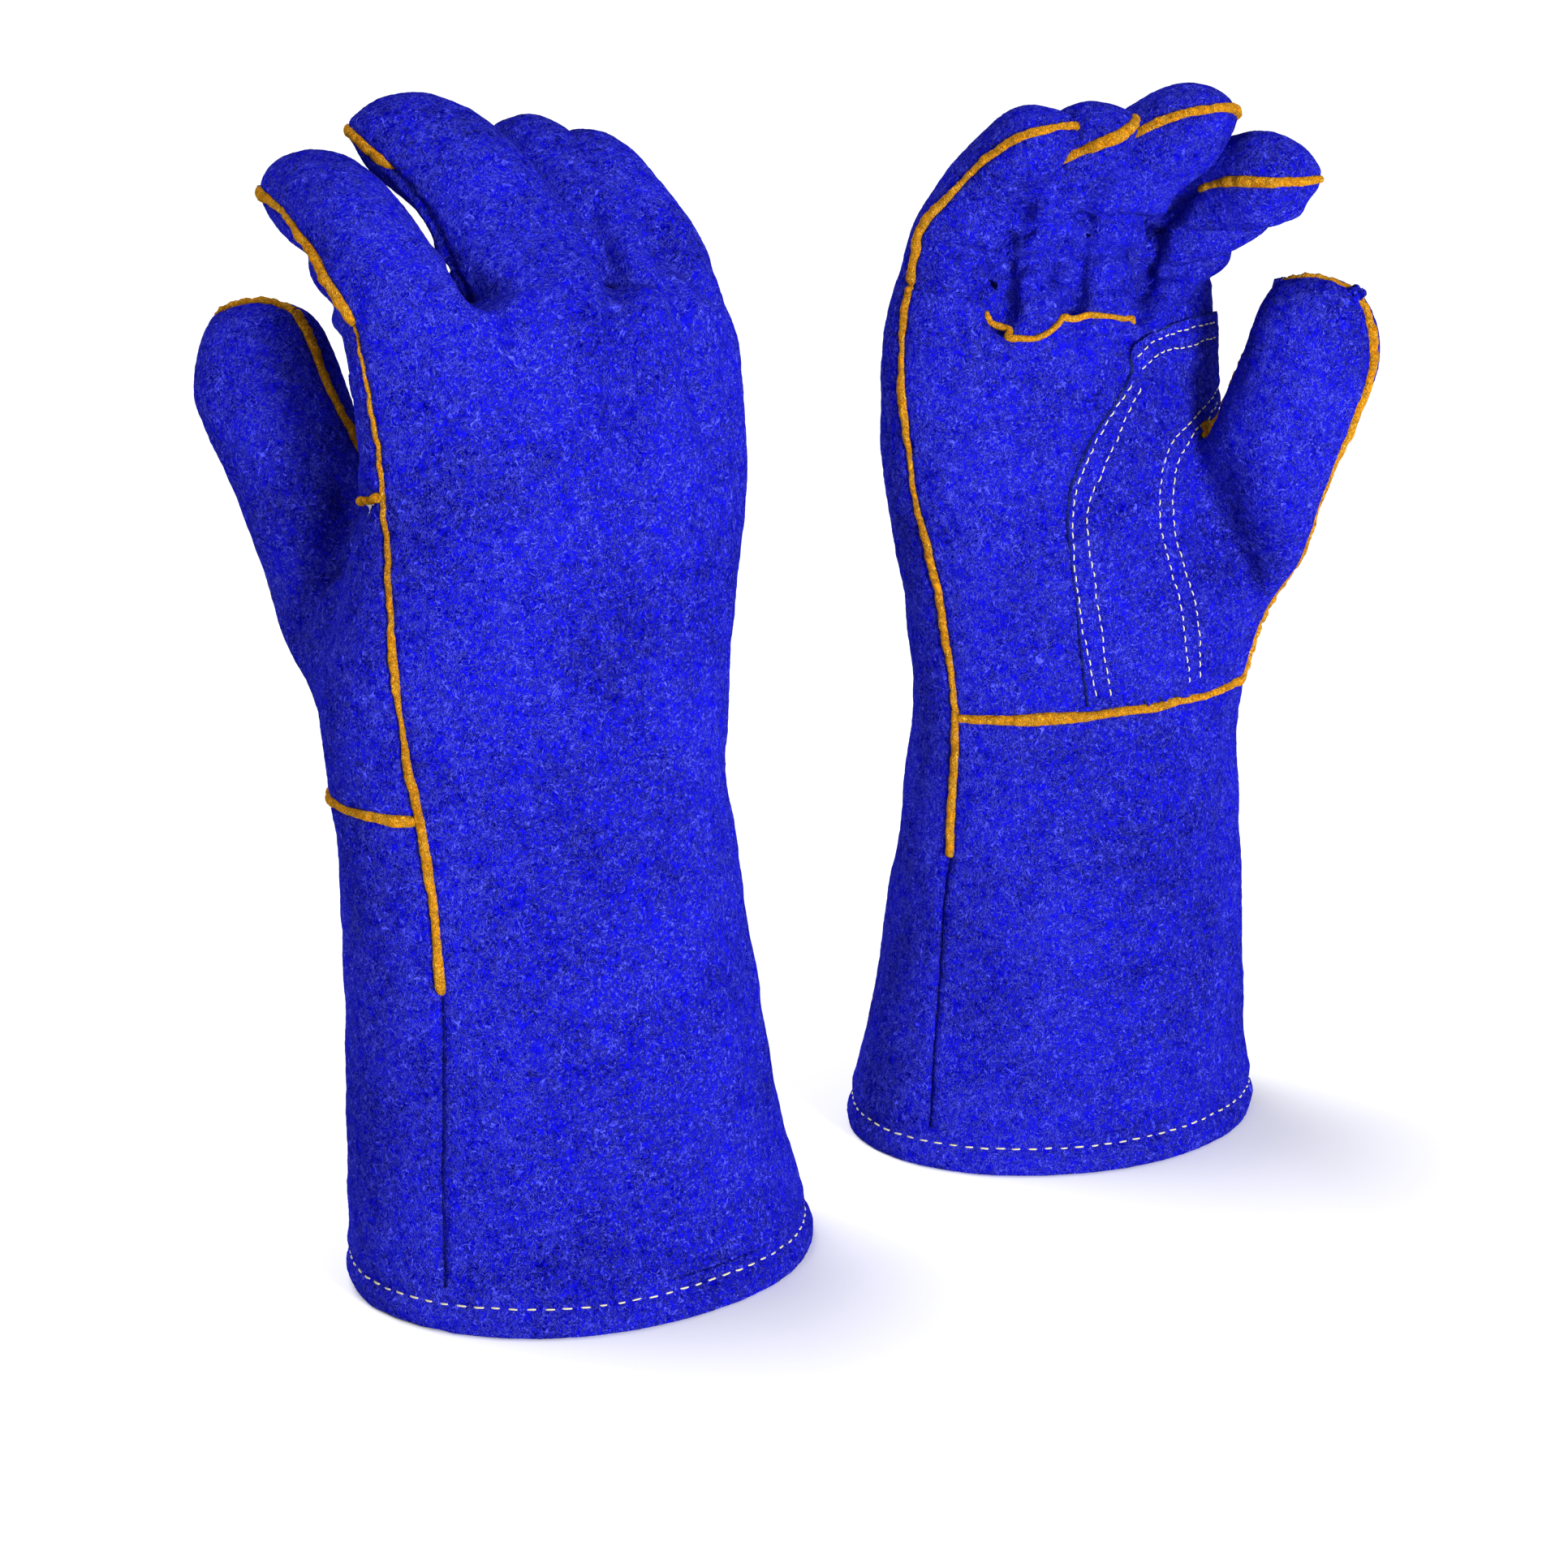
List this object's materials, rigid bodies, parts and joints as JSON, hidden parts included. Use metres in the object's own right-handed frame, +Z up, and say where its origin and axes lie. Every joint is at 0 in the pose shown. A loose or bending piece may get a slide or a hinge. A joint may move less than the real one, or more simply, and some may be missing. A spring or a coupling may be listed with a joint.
{
  "type": "welding gauntlet pair",
  "caption": "Pair of long-cuff split-leather welding gauntlets standing on their cuffs, blue with gold welts, one seen from the back and one from the palm.",
  "frame": {"origin": "on the ground under the middle of the pair", "axes": "+Z up from the hems to the fingertips; the far glove's palm faces -Y and the near glove's back faces -Y; the thumbs point outwards along +X and -X"},
  "size_m": [0.3619, 0.1438, 0.3289],
  "materials": {
    "blue_suede": "napped cobalt-blue split cowhide",
    "gold_welt": "napped gold-yellow split leather strip",
    "cream_thread": "waxed cream sewing thread",
    "fleece_lining": "brushed natural cotton fleece",
    "canvas_lining": "natural cotton canvas weave"
  },
  "bodies": {
    "near_hand": {"near_back_panel": "blue_suede", "near_palm_panel": "blue_suede", "near_cuff_front_panel": "blue_suede", "near_thumb_gore": "blue_suede", "near_palm_patch": "blue_suede", "near_patch_stitching": "cream_thread", "near_hem_band": "blue_suede", "near_hem_stitching": "cream_thread", "near_wrist_welt": "gold_welt", "near_crotch_welt": "gold_welt", "near_index_side_welt": "gold_welt", "near_pinky_side_welt": "gold_welt", "near_hand_lining": "fleece_lining", "near_cuff_lining": "canvas_lining"},
    "near_index_finger": {"near_index_back": "blue_suede", "near_index_front": "blue_suede", "near_index_welt": "gold_welt"},
    "near_middle_finger": {"near_middle_back": "blue_suede", "near_middle_front": "blue_suede", "near_middle_welt": "gold_welt"},
    "near_ring_finger": {"near_ring_back": "blue_suede", "near_ring_front": "blue_suede", "near_ring_welt": "gold_welt"},
    "near_pinky_finger": {"near_pinky_back": "blue_suede", "near_pinky_front": "blue_suede", "near_pinky_welt": "gold_welt"},
    "near_thumb": {"near_thumb_back": "blue_suede", "near_thumb_front": "blue_suede", "near_thumb_welt": "gold_welt"},
    "far_hand": {"far_back_panel": "blue_suede", "far_palm_panel": "blue_suede", "far_cuff_front_panel": "blue_suede", "far_thumb_gore": "blue_suede", "far_palm_patch": "blue_suede", "far_patch_stitching": "cream_thread", "far_hem_band": "blue_suede", "far_hem_stitching": "cream_thread", "far_wrist_welt": "gold_welt", "far_crotch_welt": "gold_welt", "far_index_side_welt": "gold_welt", "far_pinky_side_welt": "gold_welt", "far_hand_lining": "fleece_lining", "far_cuff_lining": "canvas_lining"},
    "far_index_finger": {"far_index_back": "blue_suede", "far_index_front": "blue_suede", "far_index_welt": "gold_welt"},
    "far_middle_finger": {"far_middle_back": "blue_suede", "far_middle_front": "blue_suede", "far_middle_welt": "gold_welt"},
    "far_ring_finger": {"far_ring_back": "blue_suede", "far_ring_front": "blue_suede", "far_ring_welt": "gold_welt"},
    "far_pinky_finger": {"far_pinky_back": "blue_suede", "far_pinky_front": "blue_suede", "far_pinky_welt": "gold_welt"},
    "far_thumb": {"far_thumb_back": "blue_suede", "far_thumb_front": "blue_suede", "far_thumb_welt": "gold_welt"}
  },
  "joints": [
    {"name": "near_index_bend", "type": "hinge", "parent": "near_hand", "child": "near_index_finger", "pos_m": [-0.13778, -0.0145, 0.271], "axis": [-0.9925, -0.1081, -0.0563], "range_deg": [-20, 22], "stiffness_Nm_per_rad": 0.3},
    {"name": "near_middle_bend", "type": "hinge", "parent": "near_hand", "child": "near_middle_finger", "pos_m": [-0.10978, -0.0145, 0.271], "axis": [-0.9936, -0.0835, -0.0765], "range_deg": [-20, 30], "stiffness_Nm_per_rad": 0.3},
    {"name": "near_ring_bend", "type": "hinge", "parent": "near_hand", "child": "near_ring_finger", "pos_m": [-0.08178, -0.0145, 0.271], "axis": [-1, 0, 0], "range_deg": [-20, 30], "stiffness_Nm_per_rad": 0.3},
    {"name": "near_pinky_bend", "type": "hinge", "parent": "near_hand", "child": "near_pinky_finger", "pos_m": [-0.05377, -0.0145, 0.271], "axis": [-0.9998, -0.0113, -0.0133], "range_deg": [-20, 30], "stiffness_Nm_per_rad": 0.3},
    {"name": "near_thumb_bend", "type": "hinge", "parent": "near_hand", "child": "near_thumb", "pos_m": [-0.14163, 0.02566, 0.203], "axis": [0.5332, -0.3078, 0.788], "range_deg": [-8, 22], "stiffness_Nm_per_rad": 0.3},
    {"name": "far_index_bend", "type": "hinge", "parent": "far_hand", "child": "far_index_finger", "pos_m": [0.13422, 0.0145, 0.271], "axis": [0.9925, 0.1081, -0.0563], "range_deg": [-20, 22], "stiffness_Nm_per_rad": 0.3},
    {"name": "far_middle_bend", "type": "hinge", "parent": "far_hand", "child": "far_middle_finger", "pos_m": [0.10622, 0.0145, 0.271], "axis": [0.9936, 0.0835, -0.0765], "range_deg": [-20, 30], "stiffness_Nm_per_rad": 0.3},
    {"name": "far_ring_bend", "type": "hinge", "parent": "far_hand", "child": "far_ring_finger", "pos_m": [0.07822, 0.0145, 0.271], "axis": [1, 0, 0], "range_deg": [-20, 30], "stiffness_Nm_per_rad": 0.3},
    {"name": "far_pinky_bend", "type": "hinge", "parent": "far_hand", "child": "far_pinky_finger", "pos_m": [0.05022, 0.0145, 0.271], "axis": [0.9998, 0.0113, -0.0133], "range_deg": [-20, 30], "stiffness_Nm_per_rad": 0.3},
    {"name": "far_thumb_bend", "type": "hinge", "parent": "far_hand", "child": "far_thumb", "pos_m": [0.14148, -0.02566, 0.203], "axis": [-0.5332, 0.3078, 0.788], "range_deg": [-8, 22], "stiffness_Nm_per_rad": 0.3},
    {"name": "far_glove_lift_off", "type": "slide", "parent": "near_hand", "child": "far_hand", "axis": [0, 0, 1], "range_m": [0, 0.25]}
  ]
}
